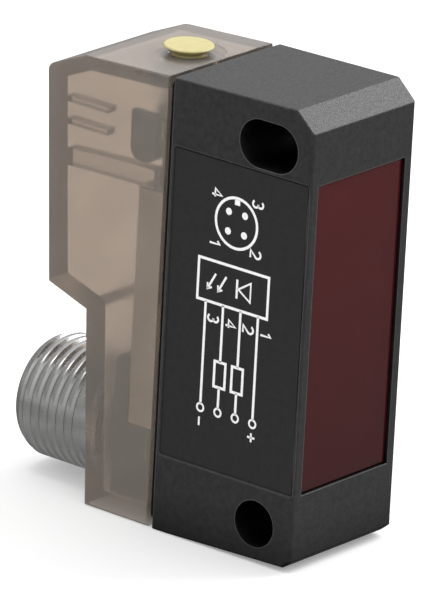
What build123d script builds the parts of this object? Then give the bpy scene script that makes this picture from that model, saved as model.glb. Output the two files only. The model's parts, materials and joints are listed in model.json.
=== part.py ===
"""Compact photoelectric sensor with a translucent rear cover and an M12 plug.

Millimetres. X is the width, Y runs from the front window to the plug, Z is up.
The model is drawn with Y counted from the housing's front face and is moved at
the end, so that the origin is under the middle of the whole sensor.
"""

import os
from math import cos, hypot, pi, sin, sqrt

from build123d import *

# ---- driving dimensions: housing ------------------------------------------------

WIDTH = 14.8
HOUSING_DEPTH = 15.9
HOUSING_TOP_REAR = 43.0
HOUSING_TOP_FRONT = 43.4
BOTTOM_RISE = 0.45
FLAT_BOTTOM = 1.4
TOE_Y = 0.9
TOE_Z = 0.75
FRONT_NARROWING = 0.18
FRONT_CHAMFER_Y = 2.05
FRONT_CHAMFER_Z = 1.9
LOWER_EDGE_ROUND = 0.25
TOE_ROUND = 0.3
FRONT_EDGE_ROUND = 0.3
CRISP_ROUND = 0.15

WINDOW_WIDTH = 12.3
WINDOW_BOTTOM = 7.35
WINDOW_TOP = 36.5
WINDOW_THICKNESS = 1.2
WINDOW_SETBACK = 0.3
WINDOW_LEDGE = 0.7
WINDOW_GAP = 0.04
SEAL_THICKNESS = 0.15

SLOT_Y = 4.95
SLOT_Z = 39.25
SLOT_LENGTH = 6.6
SLOT_HEIGHT = 4.5
HOLE_Y = 4.3
HOLE_Z = 3.75
HOLE_RADIUS = 2.2
HOLE_WALL = 1.4

CAVITY_HALF_WIDTH = 5.95
CAVITY_BOTTOM = 8.2
CAVITY_TOP = 35.7
WEB = 1.1
SPIGOT_HALF_WIDTH = 5.6
SPIGOT_BOTTOM = 2.4
SPIGOT_TOP = 38.4
SPIGOT_LENGTH = 2.0
SPIGOT_WALL = 0.8
SNAP_HEIGHTS = (7.0, 33.0)
SNAP_SIZE = 2.0
SNAP_PROUD = 0.6

PANEL_RECESS = 0.7
PANEL_SETBACK = 0.12
PANEL_BOTTOM = 7.45
PANEL_TOP = 36.6
PANEL_FRONT = 0.35
PANEL_REAR = 15.55
PANEL_GAP = 0.03
PANEL_CORNER = 0.2
PANEL_LEDGE_BEVEL = 0.16

# ---- driving dimensions: cover ---------------------------------------------------

GROOVE = 0.8
GASKET_INSET = 0.7
COVER_FRONT = HOUSING_DEPTH + GROOVE
COVER_DEPTH = 14.3
COVER_REAR = COVER_FRONT + COVER_DEPTH
COVER_INSET = 0.12
COVER_REAR_NARROWING = 0.1
COVER_TOP_FRONT = 42.92
COVER_TOP_REAR = 42.2
COVER_CHAMFER_Y = 4.3
COVER_CHAMFER_Z = 1.66
COVER_CREST_ROUND = 0.8
COVER_EDGE_ROUND = 0.35
COVER_CRISP_ROUND = 0.2
UPPER_REAR_LEAN = 1.22
UPPER_REAR_FOOT = 20.3
LOWER_REAR = 25.2
LOWER_REAR_LEAN = 0.93
LOWER_REAR_TOP = 18.8
COVER_SIDE_WALL = 1.25
COVER_TOP_WALL = 1.5
COVER_REAR_WALL = 1.9
COVER_STEP_WALL = 1.5
COVER_BOTTOM_WALL = 1.7
RIB_THICKNESS = 0.55
RIB_TOPS = (35.85, 37.95)
RIB_FRONT = 24.1
RIB_REACH = 1.1
SHELF_REAR_Z = 31.4
SHELF_REAR_THICKNESS = 1.6
SHELF_FRONT_Z = 31.65
SHELF_FRONT_THICKNESS = 1.8
SHELF_LEVEL_Y = 21.6
SHELF_FRONT = 18.4
SHELF_REACH = 1.3

# ---- driving dimensions: plug ------------------------------------------------------

PLUG_Z = 6.55
PLUG_TIP = 34.6
THREAD_RADIUS = 5.92
THREAD_PITCH = 1.0
THREAD_TURNS = 7
THREAD_DEPTH = 0.45
TIP_RADIUS = 5.05
TIP_SHOULDER_RADIUS = 5.5
TIP_SHOULDER = 0.45
TIP_LENGTH = 1.5
NECK_RADIUS = 5.4
SPOT_FACE_Y = 24.05
O_RING_RADIUS = 4.62
O_RING_SECTION = 0.26
PLUG_BORE_RADIUS = 4.4
PLUG_SPIGOT_RADIUS = 4.2
PLUG_SPIGOT_BORE = 3.4
PLUG_SPIGOT_END = 21.2
INSERT_START = 20.4
INSERT_STEP = 24.9
INSERT_FACE = 26.2
KEY_HALF_WIDTH = 0.45
PIN_CIRCLE = 2.5
PIN_RADIUS = 0.5
PIN_TAIL_RADIUS = 0.3
PIN_TAIL_START = 19.6
WIRE_RADIUS = 0.33
WIRE_TOP = 15.0
LOW_WIRE_Y = 18.0
WIRE_BEND = 0.7
PLUG_CARRIER_HALF_WIDTH = 5.7
PLUG_CARRIER_FRONT = 17.95
PLUG_CARRIER_STEP = 20.45
PLUG_CARRIER_REAR = 22.0
PLUG_CARRIER_LOW_TOP = 8.95
PLUG_CARRIER_TOP = 14.8

# ---- driving dimensions: button and switch ------------------------------------------

BUTTON_Y = 20.5
BUTTON_TOP = 43.45
BUTTON_TOP_RADIUS = 2.3
BUTTON_TOP_EDGE = 0.08
BUTTON_LIP = 0.16
BUTTON_CONE = 0.65
BUTTON_WAIST_RADIUS = 1.6
BUTTON_HEIGHT = 1.15
BUTTON_NECK_RADIUS = 1.42
BUTTON_BORE_RADIUS = 0.8
BUTTON_BORE_DEPTH = 0.35
BUTTON_TRAVEL = 0.3
PLUNGER_CLEARANCE = 0.08
STEM_RADIUS = 1.2
COLLAR_RADIUS = 1.8
COLLAR_THICKNESS = 0.6
RUNNING_GAP = 0.03
COUNTERSINK_RADIUS = 1.95
COUNTERSINK_DEPTH = 0.3
BUTTON_HOLE_RADIUS = 1.7
DISH_RADIUS = 3.4
DISH_DEPTH = 0.09
BUSH_RADIUS = 2.5
BUSH_TOP = 41.35
BUSH_BOTTOM = 40.25
PLUNGER_RADIUS = 0.6
COLLAR_TOP = BUSH_BOTTOM - 0.05
COLLAR_BOTTOM = COLLAR_TOP - COLLAR_THICKNESS
SWITCH_TOP = 38.1
SWITCH_BOARD_TOP = 36.9
SWITCH_BOARD_BOTTOM = 36.1
CARRIER_BOTTOM = 33.85
CARRIER_TOP = 38.45
CARRIER_FRONT = 18.5
CARRIER_REAR = 21.5
CARRIER_HALF_WIDTH = 5.85
CARRIER_CHEEK = 0.8
CARRIER_ROUND = 1.2
LINK_PIN_Y = 19.3
LINK_PIN_RADIUS = 0.2
LINK_PIN_BOTTOM = 29.6
LINK_PIN_PLACES = (-1.27, 0.0, 1.27)
LAMP_X = 3.6

# ---- driving dimensions: optics and boards -------------------------------------------

EMITTER_Z = 29.4
RECEIVER_Z = 16.6
LENS_RADIUS = 5.15
LENS_BULGE_RADIUS = 4.4
LENS_CURVE = 8.4
LENS_FRONT = 2.35
LENS_FLANGE = 1.1
BARREL_MOUTH = 4.7
EMITTER_THROAT = 2.3
RECEIVER_THROAT = 3.1
HOLDER_REAR = 12.3
MAIN_BOARD_Y = 12.6
BOARD_THICKNESS = 1.0
BOARD_HALF_WIDTH = 5.75
BOARD_END_GAP = 0.3
REAR_BOARD_Y = 19.6
REAR_BOARD_THICKNESS = 0.8
REAR_BOARD_HALF_WIDTH = 5.6
REAR_BOARD_BOTTOM = 12.1
REAR_BOARD_TOP = SHELF_FRONT_Z - 0.15
RAIL_GAP = 0.03
RAIL_REAR = 20.0
RAIL_BOTTOM = 9.0
HEADER_PITCH = 1.27
HEADER_Z = 29.0
HEADER_PIN_RADIUS = 0.22
SHIELD_BOTTOM = 17.0
SHIELD_TOP = 27.2
SHIELD_HALF_WIDTH = 4.2
SHIELD_DEPTH = 1.9
SHIELD_SHEET = 0.2

SIDE = WIDTH / 2
ORIGIN_Y = PLUG_TIP / 2
FIT_GAP = 0.02
BASE = (Align.CENTER, Align.CENTER, Align.MIN)
ALONG_X = (1, 0, 0)
ALONG_Y = (0, 1, 0)
ALONG_Z = (0, 0, 1)


# ---- helpers --------------------------------------------------------------------

def block(x0, x1, y0, y1, z0, z1):
    """A box between two corners."""
    middle = ((x0 + x1) / 2, (y0 + y1) / 2, (z0 + z1) / 2)
    return Pos(*middle) * Box(abs(x1 - x0), y1 - y0, z1 - z0)


def rod(start, direction, radius, length):
    """A cylinder from a start point along a direction."""
    return Plane(origin=start, z_dir=direction) * Cylinder(radius, length, align=BASE)


def side_extrusion(points, half_width):
    """A (y, z) outline extruded both ways along X."""
    outline = Polyline([(0, y, z) for y, z in points], close=True)
    return extrude(make_face(outline), amount=half_width, dir=ALONG_X, both=True)


def plan_extrusion(points, top=60, bottom=-5):
    """An (x, y) outline extruded along Z."""
    outline = Polyline([(x, y, bottom) for x, y in points], close=True)
    return extrude(make_face(outline), amount=top - bottom, dir=ALONG_Z)


def lathe_y(profile, x=0.0, z=PLUG_Z):
    """A (radius, y) outline turned about an axis along Y."""
    outline = Polyline([(x + radius, y, z) for radius, y in profile], close=True)
    return revolve(make_face(outline), axis=Axis((x, 0, z), ALONG_Y))


def lathe_z(profile, x=0.0, y=BUTTON_Y):
    """A (radius, z) outline turned about an axis along Z."""
    outline = Polyline([(x + radius, y, z) for radius, z in profile], close=True)
    return revolve(make_face(outline), axis=Axis((x, y, 0), ALONG_Z))


def nearest_edges(solid, points):
    """The edge of the solid nearest to each point."""
    return [solid.edges().sort_by_distance(Vector(*point))[0] for point in points]


def inset(points, walls):
    """A clockwise outline with each edge moved inwards by its own wall."""
    lines = []
    for i, wall in enumerate(walls):
        (ya, za), (yb, zb) = points[i], points[(i + 1) % len(points)]
        length = hypot(yb - ya, zb - za)
        normal = ((zb - za) / length, -(yb - ya) / length)
        lines.append((normal, normal[0] * ya + normal[1] * za + wall))
    moved = []
    for i, (n, d) in enumerate(lines):
        m, e = lines[i - 1]
        cross = m[0] * n[1] - m[1] * n[0]
        moved.append(((e * n[1] - d * m[1]) / cross, (d * m[0] - e * n[0]) / cross))
    return moved


def slot_tool():
    """The upper mounting slot, right through along X."""
    half = SLOT_HEIGHT / 2
    reach = (SLOT_LENGTH - SLOT_HEIGHT) / 2
    tool = block(-SIDE - 1, SIDE + 1, SLOT_Y - reach, SLOT_Y + reach, SLOT_Z - half, SLOT_Z + half)
    for y in (SLOT_Y - reach, SLOT_Y + reach):
        tool += rod((-SIDE - 1, y, SLOT_Z), ALONG_X, half, WIDTH + 2)
    return tool


def snap_blocks(inner, outer, slack=0.0):
    """A small block at each of the four snap places, from one x to another."""
    y0 = HOUSING_DEPTH + SPIGOT_LENGTH - 0.9 - slack
    y1 = HOUSING_DEPTH + SPIGOT_LENGTH - 0.2 + slack
    half = SNAP_SIZE / 2 + slack
    return [
        block(side * inner, side * outer, y0, y1, z - half, z + half)
        for side in (-1, 1)
        for z in SNAP_HEIGHTS
    ]


# ---- housing --------------------------------------------------------------------

def housing_envelope():
    """The housing's outer form with its drafts, slope and rounded edges."""
    slope = (HOUSING_TOP_FRONT - HOUSING_TOP_REAR) / HOUSING_DEPTH
    crest_z = HOUSING_TOP_FRONT - slope * FRONT_CHAMFER_Y
    brow_z = HOUSING_TOP_FRONT - FRONT_CHAMFER_Z
    flat_start = HOUSING_DEPTH - FLAT_BOTTOM
    outline = [
        (0, BOTTOM_RISE + TOE_Z),
        (0, brow_z),
        (FRONT_CHAMFER_Y, crest_z),
        (HOUSING_DEPTH, HOUSING_TOP_REAR),
        (HOUSING_DEPTH, 0),
        (flat_start, 0),
        (TOE_Y, BOTTOM_RISE),
    ]
    front = SIDE - FRONT_NARROWING
    plan = [(-front, 0), (front, 0), (SIDE, HOUSING_DEPTH), (-SIDE, HOUSING_DEPTH)]
    form = side_extrusion(outline, SIDE + 1) & plan_extrusion(plan)
    form = fillet(nearest_edges(form, [(0, TOE_Y, BOTTOM_RISE)]), TOE_ROUND)
    lower, uprights, crisp = [], [], [(0, 0, brow_z), (0, FRONT_CHAMFER_Y, crest_z)]
    for side in (-1, 1):
        lower.append((side * SIDE, (TOE_Y + flat_start) / 2, BOTTOM_RISE / 2))
        lower.append((side * SIDE, HOUSING_DEPTH - FLAT_BOTTOM / 2, 0))
        uprights.append((side * front, 0, 20))
        crisp.append((side * SIDE, HOUSING_DEPTH / 2, HOUSING_TOP_REAR))
        crisp.append((side * front, FRONT_CHAMFER_Y / 2, (brow_z + crest_z) / 2))
    form = fillet(nearest_edges(form, lower), LOWER_EDGE_ROUND)
    form = fillet(nearest_edges(form, uprights), FRONT_EDGE_ROUND)
    return fillet(nearest_edges(form, crisp), CRISP_ROUND)


def housing():
    """Hollow housing: window seat, cavity, mounting holes, panel recess and rear spigot."""
    rear = HOUSING_DEPTH + SPIGOT_LENGTH
    spigot = SPIGOT_HALF_WIDTH
    body = housing_envelope()
    body += block(-spigot, spigot, HOUSING_DEPTH - 1, rear, SPIGOT_BOTTOM, SPIGOT_TOP)

    seat_depth = WINDOW_SETBACK + WINDOW_THICKNESS + SEAL_THICKNESS
    half = WINDOW_WIDTH / 2
    body -= block(-half, half, -1, seat_depth, WINDOW_BOTTOM, WINDOW_TOP)
    inner = half - WINDOW_LEDGE
    ledge_back = seat_depth + 0.55
    body -= block(
        -inner, inner, -1, ledge_back + 1, WINDOW_BOTTOM + WINDOW_LEDGE, WINDOW_TOP - WINDOW_LEDGE
    )

    wide = CAVITY_HALF_WIDTH
    throat = spigot - SPIGOT_WALL
    body -= block(-wide, wide, ledge_back, HOUSING_DEPTH - 1, CAVITY_BOTTOM, CAVITY_TOP)
    low = SPIGOT_BOTTOM + SPIGOT_WALL
    high = SPIGOT_TOP - SPIGOT_WALL
    body -= block(-throat, throat, HOUSING_DEPTH - 1.5, rear + 1, low, high)
    behind_slot = SLOT_Y + SLOT_LENGTH / 2 + HOLE_WALL
    behind_hole = HOLE_Y + HOLE_RADIUS + HOLE_WALL
    body -= block(-throat, throat, behind_slot, rear, CAVITY_TOP + WEB, high)
    body -= block(-throat, throat, behind_hole, rear, low, CAVITY_BOTTOM - WEB)

    body -= slot_tool()
    body -= rod((-SIDE - 1, HOLE_Y, HOLE_Z), ALONG_X, HOLE_RADIUS, WIDTH + 2)
    recess = block(
        -SIDE - 1, -SIDE + PANEL_RECESS, PANEL_FRONT, PANEL_REAR, PANEL_BOTTOM, PANEL_TOP
    )
    body -= fillet(recess.edges().filter_by(Axis.X), PANEL_CORNER)
    ledge_middle = (-SIDE, (PANEL_FRONT + PANEL_REAR) / 2, PANEL_BOTTOM)
    body = chamfer(nearest_edges(body, [ledge_middle]), PANEL_LEDGE_BEVEL)
    for snap in snap_blocks(spigot - 0.3, spigot + SNAP_PROUD):
        body += snap
    return body


def side_panel():
    """Flat panel let into the left side, a little below the housing's drafted side."""
    gap = PANEL_GAP
    y0, y1 = PANEL_FRONT + gap, PANEL_REAR - gap
    z0, z1 = PANEL_BOTTOM + gap, PANEL_TOP - gap
    panel = block(-SIDE - 1, -SIDE + PANEL_RECESS - FIT_GAP, y0, y1, z0, z1)
    panel = fillet(panel.edges().filter_by(Axis.X), PANEL_CORNER - gap)
    return panel & (Pos(PANEL_SETBACK, 0, 0) * housing_envelope())


def front_window():
    """Window pane that sits a little behind the front face."""
    half = WINDOW_WIDTH / 2 - WINDOW_GAP
    low = WINDOW_BOTTOM + WINDOW_GAP
    high = WINDOW_TOP - WINDOW_GAP
    pane = block(-half, half, WINDOW_SETBACK, WINDOW_SETBACK + WINDOW_THICKNESS, low, high)
    return chamfer(pane.faces().sort_by(Axis.Y)[0].edges(), 0.08)


def window_seal():
    """Thin frame between the window and its ledge."""
    edge = 0.06
    half = WINDOW_WIDTH / 2 - edge
    y0 = WINDOW_SETBACK + WINDOW_THICKNESS
    seal = block(-half, half, y0, y0 + SEAL_THICKNESS, WINDOW_BOTTOM + edge, WINDOW_TOP - edge)
    hole = half - WINDOW_LEDGE
    low = WINDOW_BOTTOM + WINDOW_LEDGE + edge
    high = WINDOW_TOP - WINDOW_LEDGE - edge
    return seal - block(-hole, hole, y0 - 1, y0 + 1, low, high)


def housing_gasket():
    """Seal round the spigot, set in from the outside so that a groove shows."""
    half = SIDE - GASKET_INSET
    low = GASKET_INSET
    high = HOUSING_TOP_REAR - GASKET_INSET
    ring = block(-half, half, HOUSING_DEPTH, COVER_FRONT, low, high)
    ring = fillet(ring.edges().filter_by(Axis.Y), 0.4)
    inner = SPIGOT_HALF_WIDTH + FIT_GAP
    bottom, top = SPIGOT_BOTTOM - FIT_GAP, SPIGOT_TOP + FIT_GAP
    return ring - block(-inner, inner, HOUSING_DEPTH - 1, COVER_FRONT + 1, bottom, top)


# ---- rear cover ------------------------------------------------------------------

def cover_top(y):
    """Height of the cover's top face, which falls a little to the rear."""
    share = (y - COVER_FRONT) / COVER_DEPTH
    return COVER_TOP_FRONT + (COVER_TOP_REAR - COVER_TOP_FRONT) * share


def cover_outline():
    """The cover's stepped side outline, clockwise from the lower front corner."""
    knee = COVER_REAR - COVER_CHAMFER_Y
    return [
        (COVER_FRONT, 0),
        (COVER_FRONT, COVER_TOP_FRONT),
        (knee, cover_top(knee)),
        (COVER_REAR, COVER_TOP_REAR - COVER_CHAMFER_Z),
        (COVER_REAR - UPPER_REAR_LEAN, UPPER_REAR_FOOT),
        (LOWER_REAR, LOWER_REAR_TOP),
        (LOWER_REAR - LOWER_REAR_LEAN, 0),
    ]


def cover_form():
    """The cover's outer form with its rounded edges."""
    front = SIDE - COVER_INSET
    rear = front - COVER_REAR_NARROWING
    plan = [(-front, COVER_FRONT), (front, COVER_FRONT), (rear, COVER_REAR), (-rear, COVER_REAR)]
    form = side_extrusion(cover_outline(), SIDE + 1) & plan_extrusion(plan)
    crest = [(0, COVER_REAR, COVER_TOP_REAR - COVER_CHAMFER_Z)]
    form = fillet(nearest_edges(form, crest), COVER_CREST_ROUND)
    corners, crisp = [], []
    knee = COVER_REAR - COVER_CHAMFER_Y
    for side in (-1, 1):
        corners.append((side * rear, COVER_REAR - UPPER_REAR_LEAN / 2, 30))
        corners.append((side * rear, LOWER_REAR - LOWER_REAR_LEAN / 2, 10))
        corners.append((side * front, LOWER_REAR - COVER_DEPTH / 4, 0))
        crisp.append((side * front, (COVER_FRONT + knee) / 2, cover_top(knee)))
    form = fillet(nearest_edges(form, corners), COVER_EDGE_ROUND)
    return fillet(nearest_edges(form, crisp), COVER_CRISP_ROUND)


def cover_ribs():
    """Two short ribs and a full-depth shelf on each side wall."""
    inner = SIDE - COVER_INSET - COVER_SIDE_WALL
    outer = SIDE - COVER_INSET - COVER_SIDE_WALL / 2
    top = SHELF_FRONT_Z + SHELF_FRONT_THICKNESS
    shelf = [
        (COVER_REAR - 1, SHELF_REAR_Z),
        (COVER_REAR - 1, SHELF_REAR_Z + SHELF_REAR_THICKNESS),
        (SHELF_LEVEL_Y, top),
        (SHELF_FRONT, top),
        (SHELF_FRONT, SHELF_FRONT_Z),
        (SHELF_LEVEL_Y, SHELF_FRONT_Z),
    ]
    ribs = []
    for side in (-1, 1):
        for z in RIB_TOPS:
            reach = side * (inner - RIB_REACH)
            ribs.append(block(reach, side * outer, RIB_FRONT, COVER_REAR - 1, z - RIB_THICKNESS, z))
        middle = side * (outer + inner - SHELF_REACH) / 2
        half = (outer - inner + SHELF_REACH) / 2
        ribs.append(Pos(middle, 0, 0) * side_extrusion(shelf, half))
    return ribs


def button_opening():
    """Hole, countersink and shallow dish for the button, cut from the top face."""
    surface = cover_top(BUTTON_Y)
    countersink = [
        (0, surface - 3),
        (BUTTON_HOLE_RADIUS, surface - 3),
        (BUTTON_HOLE_RADIUS, surface - COUNTERSINK_DEPTH),
        (COUNTERSINK_RADIUS, surface),
        (COUNTERSINK_RADIUS, surface + 2),
        (0, surface + 2),
    ]
    ball_radius = (DISH_RADIUS ** 2 + DISH_DEPTH ** 2) / (2 * DISH_DEPTH)
    ball = Pos(0, BUTTON_Y, surface - DISH_DEPTH + ball_radius) * Sphere(ball_radius)
    dish = ball & rod((0, BUTTON_Y, surface - 1), ALONG_Z, DISH_RADIUS, 3)
    return lathe_z(countersink) + dish


def plug_opening():
    """Spot face, O-ring recess and hole for the plug, cut from the rear face."""
    opening = rod((0, SPOT_FACE_Y, PLUG_Z), ALONG_Y, NECK_RADIUS + 0.05, 3)
    recess_radius = O_RING_RADIUS + O_RING_SECTION + 0.17
    opening += rod((0, SPOT_FACE_Y - 2 * O_RING_SECTION - 0.03, PLUG_Z), ALONG_Y, recess_radius, 2)
    return opening + rod((0, INSERT_START, PLUG_Z), ALONG_Y, PLUG_SPIGOT_RADIUS + 0.04, 6)


def rear_cover():
    """Translucent shell, open at the front, with the button's hole and the plug's hole."""
    outer = cover_form()
    inner_width = SIDE - COVER_INSET - COVER_SIDE_WALL
    walls = [
        0,
        COVER_TOP_WALL,
        COVER_TOP_WALL,
        COVER_REAR_WALL,
        COVER_STEP_WALL,
        COVER_REAR_WALL,
        COVER_BOTTOM_WALL,
    ]
    hollow = side_extrusion(inset(cover_outline(), walls), inner_width)
    mouth_top = COVER_TOP_FRONT - COVER_TOP_WALL
    mouth = block(
        -inner_width, inner_width, COVER_FRONT - 1, COVER_FRONT + 0.3, COVER_BOTTOM_WALL, mouth_top
    )
    shell = outer - (hollow + mouth)
    for rib in cover_ribs():
        shell += rib & outer
    shell += rod((0, BUTTON_Y, BUSH_BOTTOM), ALONG_Z, BUSH_RADIUS + 0.8, 1.8)
    pocket = rod((0, BUTTON_Y, BUSH_BOTTOM - 1), ALONG_Z, BUSH_RADIUS + FIT_GAP, 1)
    pocket += rod((0, BUTTON_Y, BUSH_BOTTOM), ALONG_Z, BUSH_RADIUS + FIT_GAP, BUSH_TOP - BUSH_BOTTOM)
    shell -= pocket
    shell -= button_opening()
    shell -= plug_opening()
    for snap in snap_blocks(SPIGOT_HALF_WIDTH - 0.3, SPIGOT_HALF_WIDTH + SNAP_PROUD + 0.1, 0.1):
        shell -= snap
    return shell


# ---- plug ------------------------------------------------------------------------

def connector_shell():
    """Threaded shell: crests and grooves, a smooth neck and a spigot into the cover."""
    crest_y = PLUG_TIP - TIP_LENGTH
    root = THREAD_RADIUS - THREAD_DEPTH
    mouth = 0.25
    shoulder = SPOT_FACE_Y + FIT_GAP
    seat = INSERT_STEP - FIT_GAP
    profile = [(PLUG_BORE_RADIUS, PLUG_TIP - mouth), (PLUG_BORE_RADIUS + mouth, PLUG_TIP)]
    profile += [(TIP_RADIUS, PLUG_TIP), (TIP_SHOULDER_RADIUS, PLUG_TIP - TIP_SHOULDER)]
    for _ in range(THREAD_TURNS):
        profile.append((THREAD_RADIUS, crest_y))
        profile.append((THREAD_RADIUS, crest_y - 0.3 * THREAD_PITCH))
        profile.append((root, crest_y - 0.58 * THREAD_PITCH))
        profile.append((root, crest_y - 0.72 * THREAD_PITCH))
        crest_y -= THREAD_PITCH
    profile += [(NECK_RADIUS, crest_y + 0.2), (NECK_RADIUS, shoulder)]
    profile += [(PLUG_SPIGOT_RADIUS, shoulder), (PLUG_SPIGOT_RADIUS, PLUG_SPIGOT_END)]
    profile += [(PLUG_SPIGOT_BORE, PLUG_SPIGOT_END), (PLUG_SPIGOT_BORE, seat)]
    profile += [(PLUG_BORE_RADIUS, seat)]
    return lathe_y(profile)


def pin_places():
    """Four contact positions on their circle, between the axes."""
    places = []
    for quarter in range(4):
        angle = pi / 4 + quarter * pi / 2
        places.append((PIN_CIRCLE * cos(angle), PLUG_Z + PIN_CIRCLE * sin(angle)))
    return places


def connector_insert():
    """Insulator with four contact holes and the coding key."""
    wide = PLUG_BORE_RADIUS - FIT_GAP
    narrow = PLUG_SPIGOT_BORE - FIT_GAP
    profile = [
        (0, INSERT_START),
        (narrow, INSERT_START),
        (narrow, INSERT_STEP),
        (wide, INSERT_STEP),
        (wide, INSERT_FACE),
        (0, INSERT_FACE),
    ]
    body = lathe_y(profile)
    key_bottom = PLUG_Z + PLUG_BORE_RADIUS - 0.9
    key = block(
        -KEY_HALF_WIDTH, KEY_HALF_WIDTH, INSERT_FACE - 0.5, PLUG_TIP - 1, key_bottom, key_bottom + 2
    )
    body += key & rod((0, INSERT_STEP, PLUG_Z), ALONG_Y, wide, PLUG_TIP - INSERT_STEP)
    for x, z in pin_places():
        body -= rod((x, INSERT_START - 1, z), ALONG_Y, PIN_RADIUS + FIT_GAP, INSERT_FACE - INSERT_START + 2)
    return body


def contact_pins():
    """Four contacts with rounded tips and thinner solder tails."""
    pins = []
    tip = PLUG_TIP - 1.2
    tail_end = INSERT_START - 0.2
    for x, z in pin_places():
        profile = [(0, PIN_TAIL_START), (PIN_TAIL_RADIUS, PIN_TAIL_START), (PIN_TAIL_RADIUS, tail_end)]
        profile += [(PIN_RADIUS, tail_end), (PIN_RADIUS, tip - 0.5)]
        profile += [(PIN_RADIUS * 0.8, tip - 0.15), (PIN_RADIUS * 0.4, tip), (0, tip)]
        pins.append(lathe_y(profile, x, z))
    return pins


def connector_o_ring():
    """Face seal between the neck's shoulder and the cover."""
    y = SPOT_FACE_Y - O_RING_SECTION - 0.01
    section = Plane.XY.offset(PLUG_Z) * Pos(O_RING_RADIUS, y) * Circle(O_RING_SECTION)
    return revolve(section, axis=Axis((0, 0, PLUG_Z), ALONG_Y))


def connector_carrier():
    """Dark stepped block that holds the plug's spigot on the cover's floor, open for the leads."""
    half = PLUG_CARRIER_HALF_WIDTH
    floor = COVER_BOTTOM_WALL + 0.03
    low_part = block(-half, half, PLUG_CARRIER_FRONT, PLUG_CARRIER_REAR, floor, PLUG_CARRIER_LOW_TOP)
    tall_part = block(-half, half, PLUG_CARRIER_STEP, PLUG_CARRIER_REAR, floor, PLUG_CARRIER_TOP)
    body = low_part + fillet(tall_part.edges().filter_by(Axis.Y).sort_by(Axis.Z)[-2:], 0.6)
    body -= rod((0, INSERT_START - 0.1, PLUG_Z), ALONG_Y, PLUG_SPIGOT_RADIUS + FIT_GAP, 4)
    lead_room = PIN_CIRCLE + 0.4
    low = PLUG_Z - lead_room - 0.2
    return body - block(-lead_room, lead_room, 16.5, INSERT_START + 0.1, low, PLUG_CARRIER_TOP + 1)


def lead_wires():
    """Insulated leads from the contacts up the front of the rear board."""
    near_y = REAR_BOARD_Y - WIRE_RADIUS - 0.03
    wires = []
    for x, z in pin_places():
        if z > PLUG_Z:
            path = Line((x, near_y, z - PIN_TAIL_RADIUS), (x, near_y, WIRE_TOP))
        else:
            corners = [(x, PIN_TAIL_START, z), (x, LOW_WIRE_Y, z), (x, LOW_WIRE_Y, WIRE_TOP + 1.2)]
            path = FilletPolyline(corners, radius=WIRE_BEND)
        section = Plane(origin=path @ 0, z_dir=path % 0) * Circle(WIRE_RADIUS)
        wires.append(sweep(section, path=path))
    return wires


# ---- button and its switch --------------------------------------------------------

def teach_button():
    """Button: a low inverted cone with a flat top and a neck, pressed on the plunger."""
    base = BUTTON_TOP - BUTTON_HEIGHT
    waist = BUTTON_TOP - BUTTON_CONE
    profile = [
        (0, BUTTON_TOP),
        (BUTTON_TOP_RADIUS - BUTTON_TOP_EDGE, BUTTON_TOP),
        (BUTTON_TOP_RADIUS, BUTTON_TOP - BUTTON_TOP_EDGE),
        (BUTTON_TOP_RADIUS, BUTTON_TOP - BUTTON_LIP),
        (BUTTON_WAIST_RADIUS, waist),
        (BUTTON_NECK_RADIUS, waist - BUTTON_TOP_EDGE),
        (BUTTON_NECK_RADIUS, base),
        (BUTTON_BORE_RADIUS, base),
        (BUTTON_BORE_RADIUS, base + BUTTON_BORE_DEPTH),
        (0, base + BUTTON_BORE_DEPTH),
    ]
    return lathe_z(profile)


def switch_plunger():
    """Plunger in the button: a stem, a collar that keeps it in and a pin into the switch."""
    base = BUTTON_TOP - BUTTON_HEIGHT
    spigot_top = base + BUTTON_BORE_DEPTH - FIT_GAP
    low = SWITCH_BOARD_TOP + BUTTON_TRAVEL + PLUNGER_CLEARANCE
    profile = [
        (0, spigot_top),
        (BUTTON_BORE_RADIUS - FIT_GAP, spigot_top),
        (BUTTON_BORE_RADIUS - FIT_GAP, base),
        (STEM_RADIUS, base),
        (STEM_RADIUS, COLLAR_TOP),
        (COLLAR_RADIUS, COLLAR_TOP),
        (COLLAR_RADIUS, COLLAR_BOTTOM),
        (PLUNGER_RADIUS, COLLAR_BOTTOM),
        (PLUNGER_RADIUS, low),
        (0, low),
    ]
    return lathe_z(profile)


def button_seal():
    """Rubber bush round the stem."""
    ring = rod((0, BUTTON_Y, BUSH_BOTTOM), ALONG_Z, BUSH_RADIUS, BUSH_TOP - BUSH_BOTTOM)
    return ring - rod((0, BUTTON_Y, BUSH_BOTTOM - 1), ALONG_Z, STEM_RADIUS + RUNNING_GAP, 4)


def return_dome():
    """Thin rubber dome between the switch and the collar."""
    wall = 0.35
    foot, crown = 1.75, 1.3
    profile = [(foot - wall, SWITCH_TOP), (foot, SWITCH_TOP), (crown, COLLAR_BOTTOM)]
    return lathe_z(profile + [(crown - wall, COLLAR_BOTTOM)])


def switch_body():
    """Small square switch with a bore for its plunger."""
    body = block(-1.9, 1.9, BUTTON_Y - 1.35, BUTTON_Y + 1.2, SWITCH_BOARD_TOP, SWITCH_TOP)
    bore_floor = SWITCH_BOARD_TOP + 0.03
    return body - rod((0, BUTTON_Y, bore_floor), ALONG_Z, PLUNGER_RADIUS + RUNNING_GAP, 3)


def switch_board():
    """Small level board under the button."""
    half = CARRIER_HALF_WIDTH - CARRIER_CHEEK - 0.05
    rear = CARRIER_REAR - 0.1
    board = block(-half, half, CARRIER_FRONT, rear, SWITCH_BOARD_BOTTOM, SWITCH_BOARD_TOP)
    for x in LINK_PIN_PLACES:
        board -= rod((x, LINK_PIN_Y, SWITCH_BOARD_BOTTOM - 1), ALONG_Z, LINK_PIN_RADIUS + FIT_GAP, 4)
    return board


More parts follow.
